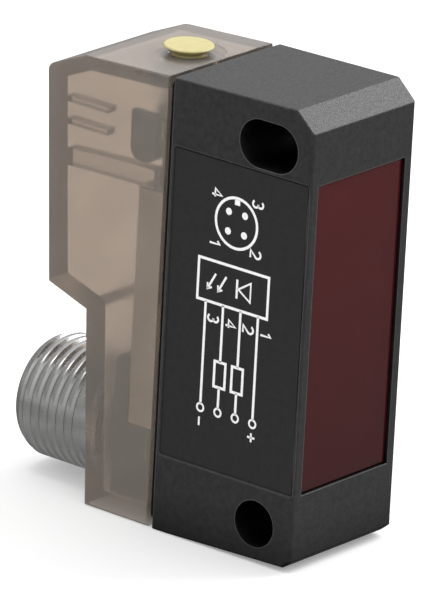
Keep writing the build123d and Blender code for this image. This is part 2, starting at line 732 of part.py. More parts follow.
def switch_link_pins():
    """Pins that join the switch board to the top of the rear board."""
    length = SWITCH_BOARD_TOP - LINK_PIN_BOTTOM
    return [rod((x, LINK_PIN_Y, LINK_PIN_BOTTOM), ALONG_Z, LINK_PIN_RADIUS, length) for x in LINK_PIN_PLACES]


def status_leds():
    """Two small indicator lamps beside the switch."""
    lamps = []
    top = SWITCH_BOARD_TOP + 0.7
    for x in (-LAMP_X, LAMP_X):
        lamp = block(x - 0.8, x + 0.8, BUTTON_Y - 0.6, BUTTON_Y + 0.6, SWITCH_BOARD_TOP, top)
        dome = Pos(x, BUTTON_Y, top - 0.1) * Sphere(0.45)
        lamps.append(lamp + (dome & block(x - 1, x + 1, BUTTON_Y - 1, BUTTON_Y + 1, top - 0.2, top + 1)))
    return lamps


def switch_carrier():
    """Dark cradle with a rounded lower edge that carries the switch board."""
    half = CARRIER_HALF_WIDTH
    body = block(-half, half, CARRIER_FRONT, CARRIER_REAR, CARRIER_BOTTOM, CARRIER_TOP)
    lower = body.edges().filter_by(Axis.X).sort_by(Axis.Z)[:2]
    body = fillet(lower, CARRIER_ROUND)
    room = half - CARRIER_CHEEK
    body -= block(-room, room, CARRIER_FRONT - 1, CARRIER_REAR + 1, SWITCH_BOARD_BOTTOM, CARRIER_TOP + 1)
    for x in LINK_PIN_PLACES:
        body -= rod((x, LINK_PIN_Y, CARRIER_BOTTOM - 1), ALONG_Z, LINK_PIN_RADIUS + 2 * FIT_GAP, 6)
    return body


# ---- optics ------------------------------------------------------------------------

def optics_holder():
    """Black holder with a tapered barrel for each lens and a wall between them."""
    half = CAVITY_HALF_WIDTH - 0.1
    low, high = CAVITY_BOTTOM + BOARD_END_GAP, CAVITY_TOP - BOARD_END_GAP
    body = block(-half, half, LENS_FRONT - 0.15, HOLDER_REAR, low, high)
    for z, throat in ((EMITTER_Z, EMITTER_THROAT), (RECEIVER_Z, RECEIVER_THROAT)):
        body -= rod((0, 0, z), ALONG_Y, LENS_RADIUS + FIT_GAP, LENS_FRONT + LENS_FLANGE)
        barrel = [
            (0, LENS_FRONT),
            (BARREL_MOUTH, LENS_FRONT),
            (BARREL_MOUTH, LENS_FRONT + LENS_FLANGE),
            (throat, HOLDER_REAR - 1),
            (throat, HOLDER_REAR + 1),
            (0, HOLDER_REAR + 1),
        ]
        body -= lathe_y(barrel, 0, z)
    return body


def lens(z):
    """Plano-convex lens with a flange, flat side to the window."""
    back = LENS_FRONT + LENS_FLANGE - FIT_GAP
    rim = rod((0, LENS_FRONT, z), ALONG_Y, LENS_RADIUS, back - LENS_FRONT)
    rise = LENS_CURVE - sqrt(LENS_CURVE ** 2 - LENS_BULGE_RADIUS ** 2)
    ball = Pos(0, back + rise - LENS_CURVE, z) * Sphere(LENS_CURVE)
    return rim + (ball & rod((0, LENS_FRONT + 0.5, z), ALONG_Y, LENS_BULGE_RADIUS, LENS_CURVE))


def emitter_lens():
    """Lens in front of the light source."""
    return lens(EMITTER_Z)


def receiver_lens():
    """Lens in front of the light receiver."""
    return lens(RECEIVER_Z)


def emitter_led():
    """Light source on the main board, behind the upper lens."""
    face = MAIN_BOARD_Y - 0.7
    half = 1.4
    base = block(-half, half, face, MAIN_BOARD_Y, EMITTER_Z - half, EMITTER_Z + half)
    dome = Pos(0, face, EMITTER_Z) * Sphere(1.0)
    return base + (dome & block(-2, 2, face - 2, face + 0.1, EMITTER_Z - 2, EMITTER_Z + 2))


def receiver_photodiode():
    """Light receiver on the main board, behind the lower lens."""
    body = block(-2.0, 2.0, MAIN_BOARD_Y - 0.9, MAIN_BOARD_Y, RECEIVER_Z - 1.7, RECEIVER_Z + 1.7)
    return chamfer(body.faces().sort_by(Axis.Y)[0].edges(), 0.2)


# ---- boards ------------------------------------------------------------------------

HEADER_PLACES = [(i - 2) * HEADER_PITCH for i in range(5)]


def pin_holes(board):
    """A board or strip with the header's pin holes cut through along Y."""
    for x in HEADER_PLACES:
        board -= rod((x, MAIN_BOARD_Y - 1, HEADER_Z), ALONG_Y, HEADER_PIN_RADIUS + FIT_GAP, 12)
    return board


def chips(places, face, height, direction=1):
    """Chip bodies standing on a board's face: (x, z, width, tall) each."""
    y0, y1 = sorted((face, face + direction * height))
    return [block(x - w / 2, x + w / 2, y0, y1, z - t / 2, z + t / 2) for x, z, w, t in places]


def main_board():
    """Upright circuit board behind the optics."""
    half = BOARD_HALF_WIDTH
    low, high = CAVITY_BOTTOM + BOARD_END_GAP, CAVITY_TOP - BOARD_END_GAP
    board = block(-half, half, MAIN_BOARD_Y, MAIN_BOARD_Y + BOARD_THICKNESS, low, high)
    return pin_holes(board)


def main_board_chips():
    """Signal processor and two drivers on the rear of the main board."""
    places = [(0, 12.2, 5.0, 5.0), (-2.6, 33.6, 3.0, 1.8), (2.4, 33.6, 3.0, 1.8)]
    return chips(places, MAIN_BOARD_Y + BOARD_THICKNESS, 0.9)


def main_board_passives():
    """Two columns of small resistors and capacitors."""
    places = [(x, 9.6 + 1.9 * i, 0.8, 1.2) for x in (-4.3, 4.3) for i in range(4)]
    return chips(places, MAIN_BOARD_Y + BOARD_THICKNESS, 0.5)


def amplifier_shield():
    """Folded metal can over the amplifier."""
    y0 = MAIN_BOARD_Y + BOARD_THICKNESS
    half, sheet = SHIELD_HALF_WIDTH, SHIELD_SHEET
    can = block(-half, half, y0, y0 + SHIELD_DEPTH, SHIELD_BOTTOM, SHIELD_TOP)
    can = fillet(can.faces().sort_by(Axis.Y)[-1].edges(), 0.3)
    inner = half - sheet
    return can - block(
        -inner, inner, y0 - 1, y0 + SHIELD_DEPTH - sheet, SHIELD_BOTTOM + sheet, SHIELD_TOP - sheet
    )


def link_header_strip():
    """Plastic strip of the board-to-board header."""
    y0 = MAIN_BOARD_Y + BOARD_THICKNESS
    strip = block(-3.3, 3.3, y0, y0 + 2.0, HEADER_Z - 0.8, HEADER_Z + 0.8)
    return pin_holes(strip)


def link_header_pins():
    """Pins from the main board to the rear board."""
    y0 = MAIN_BOARD_Y + 0.1
    reach = REAR_BOARD_Y + REAR_BOARD_THICKNESS + 0.4 - y0
    return [rod((x, y0, HEADER_Z), ALONG_Y, HEADER_PIN_RADIUS, reach) for x in HEADER_PLACES]


def rear_board():
    """Pale upright output board inside the cover."""
    half = REAR_BOARD_HALF_WIDTH
    y1 = REAR_BOARD_Y + REAR_BOARD_THICKNESS
    board = block(-half, half, REAR_BOARD_Y, y1, REAR_BOARD_BOTTOM, REAR_BOARD_TOP)
    return pin_holes(board)


def rear_board_rails():
    """Two pale strips inside the cover's side walls that carry the rear board's edges."""
    outer = SIDE - COVER_INSET - COVER_SIDE_WALL - RAIL_GAP
    inner = REAR_BOARD_HALF_WIDTH + RAIL_GAP
    return [
        block(side * inner, side * outer, COVER_FRONT + RAIL_GAP, RAIL_REAR, RAIL_BOTTOM, REAR_BOARD_TOP)
        for side in (-1, 1)
    ]


def rear_board_chips():
    """Output driver and two regulators on the front of the rear board."""
    places = [(1.2, 24.6, 4.4, 4.0), (0.2, 19.4, 2.8, 3.0), (3.8, 19.4, 2.8, 3.0)]
    return chips(places, REAR_BOARD_Y, 0.9, -1)


def rear_board_passives():
    """Small parts on the front of the rear board."""
    places = [(x, z, 0.8, 1.4) for x in (-1.8, 4.6) for z in (22.6, 24.6, 26.6)]
    return chips(places, REAR_BOARD_Y, 0.6, -1)


# ---- export ------------------------------------------------------------------------

PARTS = [
    housing,
    side_panel,
    front_window,
    window_seal,
    housing_gasket,
    rear_cover,
    connector_shell,
    connector_insert,
    contact_pins,
    connector_o_ring,
    connector_carrier,
    lead_wires,
    teach_button,
    switch_plunger,
    button_seal,
    return_dome,
    switch_body,
    switch_board,
    switch_link_pins,
    status_leds,
    switch_carrier,
    optics_holder,
    emitter_lens,
    receiver_lens,
    emitter_led,
    receiver_photodiode,
    main_board,
    main_board_chips,
    main_board_passives,
    amplifier_shield,
    link_header_strip,
    link_header_pins,
    rear_board,
    rear_board_rails,
    rear_board_chips,
    rear_board_passives,
]


def write_parts():
    """Write each sub-part to its own STEP file, in the sensor's frame."""
    os.makedirs("parts", exist_ok=True)
    for make in PARTS:
        made = make()
        solids = made if isinstance(made, list) else made.solids()
        shape = Compound([Pos(0, -ORIGIN_Y, 0) * solid for solid in solids])
        export_step(shape, f"parts/{make.__name__}.step")


write_parts()
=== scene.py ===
"""Looks of the photoelectric sensor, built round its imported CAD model."""

import json
import math

import bmesh
import bpy
from mathutils import Matrix, Vector


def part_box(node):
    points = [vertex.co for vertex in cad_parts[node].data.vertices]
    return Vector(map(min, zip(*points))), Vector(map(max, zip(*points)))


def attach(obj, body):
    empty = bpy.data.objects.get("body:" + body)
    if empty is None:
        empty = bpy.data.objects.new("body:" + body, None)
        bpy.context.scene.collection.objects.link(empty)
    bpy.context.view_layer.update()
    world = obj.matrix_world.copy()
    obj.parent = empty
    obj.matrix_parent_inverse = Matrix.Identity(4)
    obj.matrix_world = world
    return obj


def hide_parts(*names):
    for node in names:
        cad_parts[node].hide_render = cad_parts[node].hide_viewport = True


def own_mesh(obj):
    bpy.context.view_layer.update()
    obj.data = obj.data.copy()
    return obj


MM = 0.001

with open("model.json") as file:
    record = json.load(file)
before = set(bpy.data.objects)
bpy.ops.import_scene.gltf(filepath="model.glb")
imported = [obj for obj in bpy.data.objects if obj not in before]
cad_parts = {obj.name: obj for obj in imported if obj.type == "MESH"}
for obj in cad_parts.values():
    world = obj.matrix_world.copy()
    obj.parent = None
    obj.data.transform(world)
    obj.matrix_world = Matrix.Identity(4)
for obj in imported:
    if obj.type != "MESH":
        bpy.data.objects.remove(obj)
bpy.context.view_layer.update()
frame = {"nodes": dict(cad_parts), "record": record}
NODES = frame["nodes"]

# ---- material helpers --------------------------------------------------------------------------

BEVEL_SAMPLES = 6
OCCLUSION_SAMPLES = 8
# Painted highlight: edges are lightened where the rounded normal bends away from the flat one, between
# these cosines.
EDGE_COSINES = (0.8, 0.995)
# Painted shade: deep in holes and gaps the colour goes black and the specular drops.
HOLE_OPENNESS = (0.3, 0.8)
HOLE_PAINTED_SHADE = (0.001, 0.001, 0.001)
HOLE_SHADE_SPECULAR = 0.02
PLASTIC_ROUGH_SPREAD = 0.1
METAL_ROUGH_SPREAD = 0.06
METAL_EDGE_MM = 0.05
STAIN_MM = 3.0
FROST_MM = 0.3
CLOUD_MM = 4.0
CLOUD_DARK, CLOUD_LIGHT = 0.96, 1.04


def new_material(name):
    """An empty node material with its output, ready for a shader."""
    material = bpy.data.materials.new(name)
    material.use_nodes = True
    material.node_tree.nodes.clear()
    output = material.node_tree.nodes.new("ShaderNodeOutputMaterial")
    return material, material.node_tree, output


def add(tree, kind, **sockets):
    """A node with some of its input sockets set; underscores stand for spaces."""
    node = tree.nodes.new(kind)
    for key, value in sockets.items():
        node.inputs[key.replace("_", " ")].default_value = value
    return node


def noise(tree, size_mm, detail=2.0, stretch=(1, 1, 1)):
    """Noise with a given feature size, in object space."""
    coordinates = add(tree, "ShaderNodeTexCoord")
    mapping = add(tree, "ShaderNodeMapping", Scale=stretch)
    texture = add(tree, "ShaderNodeTexNoise", Scale=1 / (size_mm * MM), Detail=detail)
    tree.links.new(coordinates.outputs["Object"], mapping.inputs["Vector"])
    tree.links.new(mapping.outputs["Vector"], texture.inputs["Vector"])
    return texture.outputs["Fac"]


def span(tree, factor, low, high, start=0.3, end=0.7):
    """Maps part of a 0..1 factor to a span of values."""
    node = add(tree, "ShaderNodeMapRange", From_Min=start, From_Max=end, To_Min=low, To_Max=high)
    tree.links.new(factor, node.inputs["Value"])
    return node.outputs["Result"]


def two_tone(tree, factor, dark, light, start=0.35, end=0.65):
    """A colour between two, by a factor."""
    node = add(tree, "ShaderNodeValToRGB")
    node.color_ramp.elements[0].position = start
    node.color_ramp.elements[0].color = (*dark, 1)
    node.color_ramp.elements[1].position = end
    node.color_ramp.elements[1].color = (*light, 1)
    tree.links.new(factor, node.inputs["Fac"])
    return node.outputs["Color"]


def bump(tree, height, depth_mm, normal=None):
    """A bump normal from a height, over another normal if there is one."""
    node = add(tree, "ShaderNodeBump", Strength=1.0, Distance=depth_mm * MM)
    tree.links.new(height, node.inputs["Height"])
    if normal is not None:
        tree.links.new(normal, node.inputs["Normal"])
    return node.outputs["Normal"]


def rounded(tree, radius_mm):
    """The normal of edges rounded by a small radius."""
    node = add(tree, "ShaderNodeBevel", Radius=radius_mm * MM)
    node.samples = BEVEL_SAMPLES
    return node.outputs["Normal"]


def edge_mask(tree, soft_normal):
    """Rises from 0 on flat faces to 1 on sharp edges."""
    geometry = add(tree, "ShaderNodeNewGeometry")
    dot = add(tree, "ShaderNodeVectorMath")
    dot.operation = "DOT_PRODUCT"
    tree.links.new(soft_normal, dot.inputs[0])
    tree.links.new(geometry.outputs["Normal"], dot.inputs[1])
    return span(tree, dot.outputs["Value"], 1.0, 0.0, *EDGE_COSINES)


def blend_colour(tree, factor, first, second):
    """A colour that goes from the first, which is a socket, to a plain second one with a factor."""
    node = add(tree, "ShaderNodeMix")
    node.data_type = "RGBA"
    tree.links.new(factor, node.inputs["Factor"])
    tree.links.new(first, node.inputs["A"])
    node.inputs["B"].default_value = (*second, 1)
    return node.outputs["Result"]


def closed_in(tree, reach_mm):
    """Rises from 0 in the open to 1 deep in a hole or a gap."""
    node = add(tree, "ShaderNodeAmbientOcclusion", Distance=reach_mm * MM)
    node.samples = OCCLUSION_SAMPLES
    return span(tree, node.outputs["AO"], 1.0, 0.0, *HOLE_OPENNESS)


def height_fade(tree, top):
    """Rises from 0 at a height above the bottom, in metres, to 1 at the bottom."""
    coordinates = add(tree, "ShaderNodeTexCoord")
    parts = add(tree, "ShaderNodeSeparateXYZ")
    tree.links.new(coordinates.outputs["Object"], parts.inputs["Vector"])
    return span(tree, parts.outputs["Z"], 1.0, 0.0, 0.0, top)


def plastic(name, dark, light, rough, grain_mm, grain_depth_mm, specular=0.4, edge_mm=0.08,
            mottle_mm=0.6, painted_edge_highlight=None, hole_mm=0.0):
    """Moulded plastic: fine grain, mottled colour, rounded edges and, if given, a painted highlight on the
    edges and painted shade deep in holes.
    """
    material, tree, output = new_material(name)
    shader = add(tree, "ShaderNodeBsdfPrincipled", Specular_IOR_Level=specular)
    fine = noise(tree, grain_mm, 3.0)
    mottle = noise(tree, mottle_mm, 5.0)
    soft = rounded(tree, edge_mm)
    colour = two_tone(tree, mottle, dark, light)
    # Painted highlight: the colour is lightened along the edges.
    if painted_edge_highlight is not None:
        colour = blend_colour(tree, edge_mask(tree, soft), colour, painted_edge_highlight)
    if hole_mm:
        # Painted shade: occlusion turns the colour black and lowers the specular deep in holes and gaps.
        painted_shade = closed_in(tree, hole_mm)
        colour = blend_colour(tree, painted_shade, colour, HOLE_PAINTED_SHADE)
        shaded_specular = span(tree, painted_shade, specular, HOLE_SHADE_SPECULAR, 0.0, 1.0)
        tree.links.new(shaded_specular, shader.inputs["Specular IOR Level"])
    tree.links.new(colour, shader.inputs["Base Color"])
    gloss = span(tree, fine, rough - PLASTIC_ROUGH_SPREAD, rough + PLASTIC_ROUGH_SPREAD)
    tree.links.new(gloss, shader.inputs["Roughness"])
    tree.links.new(bump(tree, fine, grain_depth_mm, soft), shader.inputs["Normal"])
    tree.links.new(shader.outputs["BSDF"], output.inputs["Surface"])
    return material


def metal(name, dark, light, rough, brush=(1, 1, 1), brush_mm=0.2, depth_mm=0.002):
    """Plated metal with fine tool marks and faint stains."""
    material, tree, output = new_material(name)
    shader = add(tree, "ShaderNodeBsdfPrincipled", Metallic=1.0)
    shader.inputs["Specular Tint"].default_value = (0.5, 0.5, 0.5, 1)
    marks = noise(tree, brush_mm, 3.0, brush)
    stain = noise(tree, STAIN_MM, 3.0)
    tree.links.new(two_tone(tree, stain, dark, light), shader.inputs["Base Color"])
    gloss = span(tree, marks, rough - METAL_ROUGH_SPREAD, rough + METAL_ROUGH_SPREAD)
    tree.links.new(gloss, shader.inputs["Roughness"])
    relief = bump(tree, marks, depth_mm, rounded(tree, METAL_EDGE_MM))
    tree.links.new(relief, shader.inputs["Normal"])
    tree.links.new(shader.outputs["BSDF"], output.inputs["Surface"])
    return material


def clear(name, tint, rough, ior, transmission=1.0, absorb=None, density_per_mm=0.0, edge_mm=0.0,
          fade=None):
    """Clear or milky plastic: faint clouds, uneven gloss, and if given, depth colour, edges and a fade.

    A fade is the share of the colour left at the bottom, and the height in metres where it starts."""
    material, tree, output = new_material(name)
    shader = add(tree, "ShaderNodeBsdfPrincipled", IOR=ior, Transmission_Weight=transmission)
    frost = noise(tree, FROST_MM, 3.0)
    cloud = noise(tree, CLOUD_MM, 2.0)
    light = [min(1.0, CLOUD_LIGHT * c) for c in tint]
    dark = [CLOUD_DARK * c for c in tint]
    colour = two_tone(tree, cloud, dark, light)
    if fade is not None:
        share, top = fade
        colour = blend_colour(tree, height_fade(tree, top), colour, [share * c for c in tint])
    tree.links.new(colour, shader.inputs["Base Color"])
    tree.links.new(span(tree, frost, rough * 0.9, rough * 1.1), shader.inputs["Roughness"])
    if edge_mm:
        tree.links.new(rounded(tree, edge_mm), shader.inputs["Normal"])
    tree.links.new(shader.outputs["BSDF"], output.inputs["Surface"])
    if density_per_mm:
        volume = add(tree, "ShaderNodeVolumeAbsorption", Color=(*absorb, 1))
        volume.inputs["Density"].default_value = density_per_mm / MM
        tree.links.new(volume.outputs["Volume"], output.inputs["Volume"])
    return material


# ---- materials ---------------------------------------------------------------------------------

# The housing gets a painted highlight along its edges and painted shade deep in its holes and gaps.
HOUSING = plastic("housing_grain", (0.011, 0.011, 0.012), (0.019, 0.019, 0.02), 0.44, 0.14, 0.035,
                  0.5, edge_mm=0.16, painted_edge_highlight=(0.12, 0.12, 0.12), hole_mm=9.0)
PANEL = plastic("panel_satin", (0.013, 0.013, 0.014), (0.016, 0.016, 0.017), 0.5, 0.2, 0.003, 0.4)
RUBBER = plastic("dark_rubber", (0.006, 0.006, 0.006), (0.011, 0.011, 0.011), 0.75, 0.2, 0.006, 0.2)
GREY_RUBBER = plastic("grey_silicone", (0.16, 0.16, 0.155), (0.2, 0.2, 0.19), 0.6, 0.3, 0.005)
MOULDED = plastic("moulded_black", (0.012, 0.012, 0.012), (0.02, 0.02, 0.02), 0.5, 0.2, 0.005)
CARRIER = plastic("carrier_dark", (0.012, 0.010, 0.009), (0.018, 0.015, 0.014), 0.6, 0.3, 0.005)
OPTICS = plastic("optics_black", (0.004, 0.004, 0.004), (0.008, 0.008, 0.008), 0.8, 0.2, 0.006, 0.15)
CHIP = plastic("chip_black", (0.01, 0.01, 0.011), (0.016, 0.016, 0.017), 0.55, 0.1, 0.004)
PASSIVE = plastic("passive_ceramic", (0.2, 0.14, 0.08), (0.3, 0.22, 0.13), 0.4, 0.15, 0.003)
BOARD_PALE = plastic("board_pale", (0.72, 0.69, 0.6), (0.8, 0.76, 0.68), 0.45, 0.4, 0.003)
RAIL = plastic("rail_cream", (0.72, 0.69, 0.6), (0.78, 0.74, 0.66), 0.5, 0.3, 0.003)
BOARD_GREEN = plastic("board_green", (0.012, 0.07, 0.03), (0.018, 0.095, 0.04), 0.35, 0.4, 0.003)
SHEATH = plastic("wire_sheath", (0.16, 0.08, 0.035), (0.2, 0.1, 0.045), 0.45, 0.3, 0.003)
YELLOW = plastic("button_yellow", (0.5, 0.44, 0.19), (0.54, 0.48, 0.22), 0.42, 0.3, 0.003, 0.5)
INK = plastic("white_ink", (0.78, 0.78, 0.78), (0.86, 0.86, 0.86), 0.6, 0.08, 0.002, 0.3, mottle_mm=0.3)
NICKEL = metal("nickel_plate", (0.52, 0.52, 0.515), (0.6, 0.6, 0.59), 0.3, (1, 0.15, 1), 0.3, 0.0004)
GOLD = metal("gold_contact", (0.8, 0.58, 0.25), (0.9, 0.68, 0.32), 0.28)
TIN = metal("tinned_steel", (0.55, 0.55, 0.55), (0.66, 0.66, 0.65), 0.35)
COVER = clear("smoky_cover", (0.77, 0.69, 0.62), 0.22, 1.46, 0.86, (0.6, 0.56, 0.51), 0.42, edge_mm=0.12)
WINDOW = clear("red_window", (0.12, 0.01, 0.012), 0.06, 1.4, 0.6, edge_mm=0.05, fade=(0.55, 0.034))
LENS = clear("lens_clear", (0.95, 0.95, 0.95), 0.02, 1.53)
LAMP = clear("lamp_clear", (0.9, 0.9, 0.85), 0.2, 1.5)
LAMP_RED = clear("lamp_red", (0.9, 0.25, 0.15), 0.15, 1.5)

FINISHES = {
    "black_plastic": HOUSING,
    "panel_black": PANEL,
    "red_window": WINDOW,
    "smoky_cover": COVER,
    "yellow_button": YELLOW,
    "nickel": NICKEL,
    "gold_contact": GOLD,
    "insert_black": MOULDED,
    "carrier_dark": CARRIER,
    "dark_rubber": RUBBER,
    "grey_rubber": GREY_RUBBER,
    "board_pale": BOARD_PALE,
    "rail_pale": RAIL,
    "board_green": BOARD_GREEN,
    "chip_black": CHIP,
    "passive_tan": PASSIVE,
    "tinned_steel": TIN,
    "optics_black": OPTICS,
    "lens_clear": LENS,
    "lamp_clear": LAMP,
    "lamp_red": LAMP_RED,
    "photodiode_dark": CHIP,
    "wire_sheath": SHEATH,
}

for part in frame["record"]["subparts"]:
    node = NODES[part["node"]]
    for node_slot in node.material_slots:
        node_slot.material = FINISHES[part["material_slot"]]

# ---- shared mesh helpers -----------------------------------------------------------------------


def place_piece(data, material, smooth=False):
    """An object for a mesh in the sensor's frame, which moves with the sensor's body."""
    data.materials.append(material)
    if smooth:
        data.shade_smooth()
    piece = bpy.data.objects.new(data.name, data)
    bpy.context.scene.collection.objects.link(piece)
    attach(piece, "sensor")
    return piece


# ---- plug: threaded shell ----------------------------------------------------------------------

# Millimetres; heights along the plug count from the sensor's front face.
PITCH = 1.0
# The groove's depth at each share of a pitch.
GROOVE = ((0.0, 0.03), (0.05, 0.0), (0.48, 0.0), (0.53, 0.03), (0.68, 0.21), (0.76, 0.25), (0.84, 0.21))
STEPS_ROUND = 144
THREAD_START = 26.35
NECK_RADIUS = 5.72
HIDDEN_NECK_RADIUS = 5.4
HIDDEN_NECK_END = 25.35
RUN_OUT = 0.5
SHOULDER = 24.07
SPIGOT_START = 21.2
SPIGOT_OUTER, SPIGOT_INNER = 4.2, 3.4
BORE_RADIUS = 4.4
BORE_DEPTH = 8.0
MOUTH_BEVEL = 0.3
TIP_RADIUS = 5.0
TIP_TAPER = 1.25
TIP_SPAN = 0.12
TIP_CURVE = 0.6
TIP_EDGE = 0.08
CREST_INSET = 0.01
NECK_CHAMFER = 0.15
WELD_DISTANCE = 0.0005
SHELL_SHARP_ANGLE = 35


def smooth_step(x):
    """0 below 0, 1 above 1 and an even S between."""
    x = min(1.0, max(0.0, x))
    return x * x * (3 - 2 * x)


def turned_ring(y, radius, centre_z):
    """A circle of points about the plug's axis."""
    ring = []
    for k in range(STEPS_ROUND):
        angle = 2 * math.pi * k / STEPS_ROUND
        z = centre_z + radius * math.cos(angle)
        ring.append((radius * math.sin(angle) * MM, y * MM, z * MM))
    return ring


def thread_grid(start, tip, crest_radius, centre_z):
    """Points of the helical thread; each row follows the helix and stops at both ends."""
    end = tip - TIP_SPAN
    rows = []
    for turn in range(int((end - start) / PITCH) + 2):
        for share, groove in GROOVE:
            row = []
            for k in range(STEPS_ROUND + 1):
                wanted = start + (turn + share - k / STEPS_ROUND) * PITCH
                y = min(end, max(start, wanted))
                run = smooth_step((y - start) / RUN_OUT)
                crest = NECK_RADIUS + (crest_radius - NECK_RADIUS) * run
                nearness = min(1.0, (tip - y) / TIP_TAPER)
                taper = TIP_RADIUS + (crest - TIP_RADIUS) * nearness ** TIP_CURVE
                radius = min(crest - groove * run, taper)
                angle = 2 * math.pi * k / STEPS_ROUND
                z = centre_z + radius * math.cos(angle)
                row.append((radius * math.sin(angle) * MM, y * MM, z * MM))
            rows.append(row)
    return rows


def build_plug():
    """The plug's shell: spigot, neck, helical thread, tapered tip and bore, turned about Y."""
    low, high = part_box("connector_shell")
    crest_radius = (high.x - low.x) / 2 / MM - CREST_INSET
    tip = high.y / MM
    first = low.y / MM
    origin = first - SPIGOT_START
    centre_z = (low.z + high.z) / 2 / MM
    start = origin + THREAD_START
    hidden_end = origin + HIDDEN_NECK_END
    tip_share = (TIP_SPAN / TIP_TAPER) ** TIP_CURVE
    inner_rings = [
        (start, NECK_RADIUS),
        (hidden_end + NECK_CHAMFER, NECK_RADIUS),
        (hidden_end, HIDDEN_NECK_RADIUS),
        (origin + SHOULDER, HIDDEN_NECK_RADIUS),
        (origin + SHOULDER, SPIGOT_OUTER),
        (first, SPIGOT_OUTER),
        (first, SPIGOT_INNER),
        (tip - BORE_DEPTH, SPIGOT_INNER),
        (tip - BORE_DEPTH, BORE_RADIUS),
        (tip - MOUTH_BEVEL, BORE_RADIUS),
        (tip, BORE_RADIUS + MOUTH_BEVEL),
        (tip, TIP_RADIUS - TIP_EDGE),
        (tip - TIP_SPAN, TIP_RADIUS + (crest_radius - TIP_RADIUS) * tip_share),
    ]
    mesh = bmesh.new()
    rings = []
    for y, radius in inner_rings:
        rings.append([mesh.verts.new(point) for point in turned_ring(y, radius, centre_z)])
    for ring, after in zip(rings, rings[1:]):
        for k in range(STEPS_ROUND):
            beside = (k + 1) % STEPS_ROUND
            mesh.faces.new((ring[k], ring[beside], after[beside], after[k]))
    grid = thread_grid(start, tip, crest_radius, centre_z)
    rows = [[mesh.verts.new(point) for point in row] for row in grid]
    for row, after in zip(rows, rows[1:]):
        for k in range(STEPS_ROUND):
            mesh.faces.new((row[k], after[k], after[k + 1], row[k + 1]))
    bmesh.ops.remove_doubles(mesh, verts=mesh.verts, dist=WELD_DISTANCE * MM)
    bmesh.ops.dissolve_degenerate(mesh, edges=mesh.edges, dist=WELD_DISTANCE * MM)
    bmesh.ops.recalc_face_normals(mesh, faces=mesh.faces)
    data = bpy.data.meshes.new("plug_shell")
    mesh.to_mesh(data)
    mesh.free()
    plug = place_piece(data, NICKEL, smooth=True)
    data.set_sharp_from_angle(angle=math.radians(SHELL_SHARP_ANGLE))
    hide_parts("connector_shell")


# ---- return dome: a soft rubber ring under the button ------------------------------------------

DOME_WALL = 0.3
DOME_LEAN = 0.45
DOME_STEPS = 64
DOME_ROWS = 12
DOME_SHARP_ANGLE = 40


def dome_ring(mesh, centre, radius, z):
    """A level circle of vertices about the button's axis."""
    ring = []
    for k in range(DOME_STEPS):
        angle = 2 * math.pi * k / DOME_STEPS
        x = centre.x + radius * math.cos(angle)
        y = centre.y + radius * math.sin(angle)
        ring.append(mesh.verts.new((x, y, z)))
    return ring


def build_dome():
    """The rubber dome with a curved wall, as tall as the CAD dome it replaces."""
    low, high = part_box("return_dome")
    centre = (low + high) / 2
    height = high.z - low.z
    foot = (high.x - low.x) / 2
    crown = foot - DOME_LEAN * MM
    wall = DOME_WALL * MM
    outline = []
    for i in range(DOME_ROWS + 1):
        share = i / DOME_ROWS
        outline.append((foot + (crown - foot) * smooth_step(share), low.z + height * share))
    outline += [(radius - wall, z) for radius, z in reversed(outline)]
    mesh = bmesh.new()
    rings = [dome_ring(mesh, centre, radius, z) for radius, z in outline]
    for ring, after in zip(rings, rings[1:] + rings[:1]):
        for k in range(DOME_STEPS):
            beside = (k + 1) % DOME_STEPS
            mesh.faces.new((ring[k], ring[beside], after[beside], after[k]))
    bmesh.ops.recalc_face_normals(mesh, faces=mesh.faces)
    data = bpy.data.meshes.new("soft_dome")
    mesh.to_mesh(data)
    mesh.free()
    dome = place_piece(data, GREY_RUBBER, smooth=True)
    data.set_sharp_from_angle(angle=math.radians(DOME_SHARP_ANGLE))
    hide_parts("return_dome")
    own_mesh(dome)


# ---- side print: pin plan and wiring lines -----------------------------------------------------

# Millimetres; a place on the side is its height and its depth behind the front face.
INK_THICKNESS = 0.012
LINE_WIDTH = 0.27
DIODE_LINE = 0.24
ARROW_LINE, ARROW_HEAD_LINE = 0.22, 0.2
MARK_LINE = 0.21
RING_LINE = 0.2
NUMBER_SIZE, SIGN_SIZE = 1.15, 1.4
SHARPEST_MITRE = 0.7
PANEL_REAR = 15.52
SIDE_TAPER = 0.18 / 15.9
FACE_PLAN = (31.2, 8.2)
FACE_RADIUS = 2.35
KEY_WIDTH = 0.6
KEY_OUTER, KEY_INNER = 0.1, 0.65
PIN_RADIUS = 0.34
PIN_CIRCLE = 1.3
PIN_ANGLES = (("1", 135), ("2", 225), ("3", 315), ("4", 45))
NUMBER_REACH = 0.95
BOX_TOP, BOX_BOTTOM = 27.1, 23.2
BOX_FRONT, BOX_REAR = 4.2, 12.2
DIODE_HALF = 0.9
DIODE_BASE, DIODE_TIP, DIODE_BAR = 6.2, 7.6, 7.75
ARROW_STARTS = (9.0, 10.2)
ARROW_HALF, ARROW_SLANT = 0.8, 0.9
ARROW_BARB = 0.6
ARROW_SIDE_BARB = (0.25, 0.5)
LEADS = ((5.2, "1", "+"), (7.2, "2", ""), (9.2, "4", ""), (11.2, "3", "-"))
LEAD_END = 13.4
LEAD_RING = 0.38
LEAD_NUMBER_DROP, LEAD_NUMBER_SHIFT = 1.5, 0.95
SIGN_DROP = 1.7
LOAD_TOP, LOAD_BOTTOM = 17.8, 15.4
LOAD_HALF = 0.62


def arc(u, v, radius, start, end, steps=24):
    """Points on an arc, angles in degrees."""
    angles = [math.radians(start + (end - start) * i / steps) for i in range(steps + 1)]
    return [(u + radius * math.cos(a), v + radius * math.sin(a)) for a in angles]


